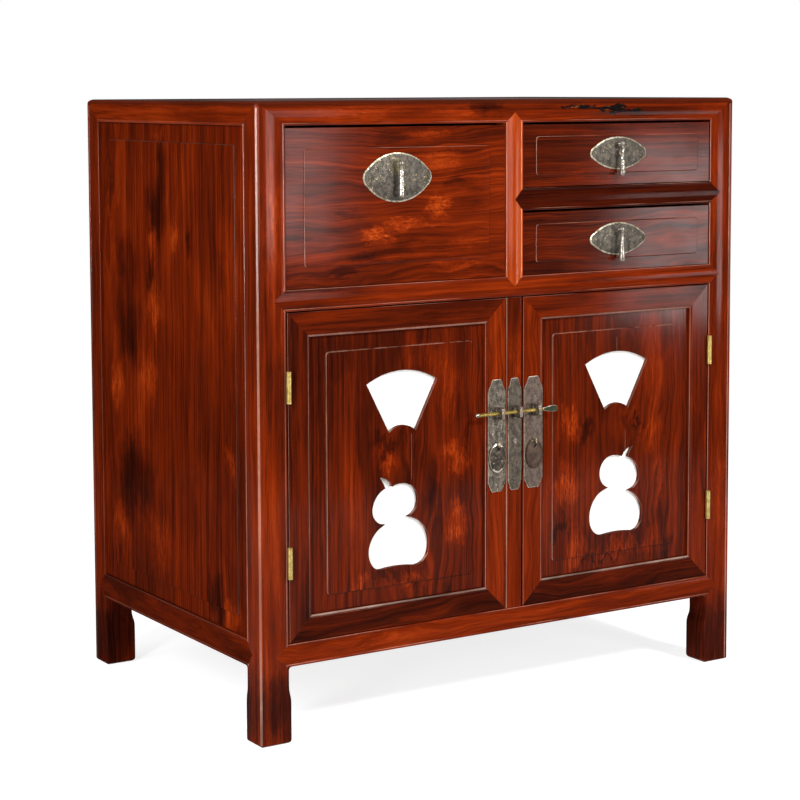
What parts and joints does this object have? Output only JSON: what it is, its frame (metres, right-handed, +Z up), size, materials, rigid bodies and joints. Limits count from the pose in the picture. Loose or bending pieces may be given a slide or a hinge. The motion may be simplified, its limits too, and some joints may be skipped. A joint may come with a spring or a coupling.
{
  "type": "kang cabinet",
  "caption": "Low framed hardwood cabinet with drawers over two doors, pierced fan and gourd panels, a brass lock rod, drop pulls and butt hinges.",
  "frame": {"origin": "floor level under the centre of the whole part's box", "axes": "+Z up, +X to the right along the front, the doors and drawers face -Y"},
  "size_m": [0.74, 0.4948, 0.78],
  "materials": {
    "frame_wood": "glossy dark red-brown lacquer over hardwood",
    "panel_wood": "glossy dark red-brown lacquer, dark vertical figure",
    "inner_wood": "plain unlacquered softwood",
    "drawer_front_wood": "glossy red-brown lacquer, horizontal figure",
    "door_frame_wood": "glossy red-brown lacquer",
    "door_panel_wood": "glossy red-brown lacquer, flame figure",
    "pale_board": "matt warm white paint",
    "lock_brass": "mottled grey-green patina, bright edges",
    "rod_brass": "ochre patina, darker leaf end",
    "hinge_brass": "bright yellow brass",
    "plate_brass": "speckled olive-grey patina, bright bevelled edge",
    "drop_brass": "pale silvery brass, worn bright"
  },
  "bodies": {
    "carcass": {"front_left_post": "frame_wood", "front_right_post": "frame_wood", "back_left_post": "frame_wood", "back_right_post": "frame_wood", "top_front_rail": "frame_wood", "top_back_rail": "frame_wood", "top_left_rail": "frame_wood", "top_right_rail": "frame_wood", "middle_rail": "frame_wood", "bottom_front_rail": "frame_wood", "bottom_back_rail": "frame_wood", "bottom_side_rails": "frame_wood", "drawer_upright": "frame_wood", "drawer_divider": "frame_wood", "door_upright": "frame_wood", "top_panel": "panel_wood", "left_side_panel": "panel_wood", "right_side_panel": "panel_wood", "top_panel_battens": "inner_wood", "back_panel": "inner_wood", "drawer_partition": "inner_wood", "drawer_deck": "inner_wood", "drawer_runners": "inner_wood", "bottom_board": "inner_wood", "centre_lock_plate": "lock_brass", "post_hinge_leaves": "hinge_brass", "hinge_pins": "hinge_brass"},
    "left_door": {"left_door_hinge_stile": "door_frame_wood", "left_door_meeting_stile": "door_frame_wood", "left_door_top_rail": "door_frame_wood", "left_door_bottom_rail": "door_frame_wood", "left_door_panel": "door_panel_wood", "left_door_pane": "pale_board", "left_door_hinge_leaves": "hinge_brass", "left_lock_plate": "lock_brass", "left_lock_staples": "lock_brass"},
    "left_door_pull": {"left_door_pull": "lock_brass"},
    "right_door": {"right_door_hinge_stile": "door_frame_wood", "right_door_meeting_stile": "door_frame_wood", "right_door_top_rail": "door_frame_wood", "right_door_bottom_rail": "door_frame_wood", "right_door_panel": "door_panel_wood", "right_door_pane": "pale_board", "right_door_hinge_leaves": "hinge_brass", "right_lock_plate": "lock_brass", "right_lock_staples": "lock_brass"},
    "right_door_pull": {"right_door_pull": "lock_brass"},
    "lock_rod": {"lock_rod": "rod_brass"},
    "left_drawer": {"left_drawer_front": "drawer_front_wood", "left_drawer_box": "inner_wood", "left_drawer_pull_plate": "plate_brass"},
    "left_drawer_drop": {"left_drawer_drop": "drop_brass"},
    "upper_drawer": {"upper_drawer_front": "drawer_front_wood", "upper_drawer_box": "inner_wood", "upper_drawer_pull_plate": "plate_brass"},
    "upper_drawer_drop": {"upper_drawer_drop": "drop_brass"},
    "lower_drawer": {"lower_drawer_front": "drawer_front_wood", "lower_drawer_box": "inner_wood", "lower_drawer_pull_plate": "plate_brass"},
    "lower_drawer_drop": {"lower_drawer_drop": "drop_brass"}
  },
  "joints": [
    {"name": "left_door_hinge", "type": "hinge", "parent": "carcass", "child": "left_door", "pos_m": [-0.3292, -0.23515, 0.33], "axis": [0, 0, -1], "range_deg": [0, 170]},
    {"name": "right_door_hinge", "type": "hinge", "parent": "carcass", "child": "right_door", "pos_m": [0.3292, -0.23515, 0.33], "axis": [0, 0, 1], "range_deg": [0, 170]},
    {"name": "lock_rod_slide", "type": "slide", "parent": "left_door", "child": "lock_rod", "axis": [-1, 0, 0], "range_m": [0, 0.064]},
    {"name": "left_door_pull_hinge", "type": "hinge", "parent": "left_door", "child": "left_door_pull", "pos_m": [-0.0232, -0.23485, 0.3395], "axis": [-1, 0, 0], "range_deg": [0, 90]},
    {"name": "right_door_pull_hinge", "type": "hinge", "parent": "right_door", "child": "right_door_pull", "pos_m": [0.0347, -0.23485, 0.3395], "axis": [-1, 0, 0], "range_deg": [0, 90]},
    {"name": "left_drawer_slide", "type": "slide", "parent": "carcass", "child": "left_drawer", "axis": [0, -1, 0], "range_m": [0, 0.3]},
    {"name": "left_drawer_drop_hinge", "type": "hinge", "parent": "left_drawer", "child": "left_drawer_drop", "pos_m": [-0.172, -0.24085, 0.7025], "axis": [-1, 0, 0], "range_deg": [0, 90]},
    {"name": "upper_drawer_slide", "type": "slide", "parent": "carcass", "child": "upper_drawer", "axis": [0, -1, 0], "range_m": [0, 0.3]},
    {"name": "upper_drawer_drop_hinge", "type": "hinge", "parent": "upper_drawer", "child": "upper_drawer_drop", "pos_m": [0.172, -0.24085, 0.72075], "axis": [-1, 0, 0], "range_deg": [0, 90]},
    {"name": "lower_drawer_slide", "type": "slide", "parent": "carcass", "child": "lower_drawer", "axis": [0, -1, 0], "range_m": [0, 0.3]},
    {"name": "lower_drawer_drop_hinge", "type": "hinge", "parent": "lower_drawer", "child": "lower_drawer_drop", "pos_m": [0.172, -0.24085, 0.60825], "axis": [-1, 0, 0], "range_deg": [0, 90]}
  ]
}
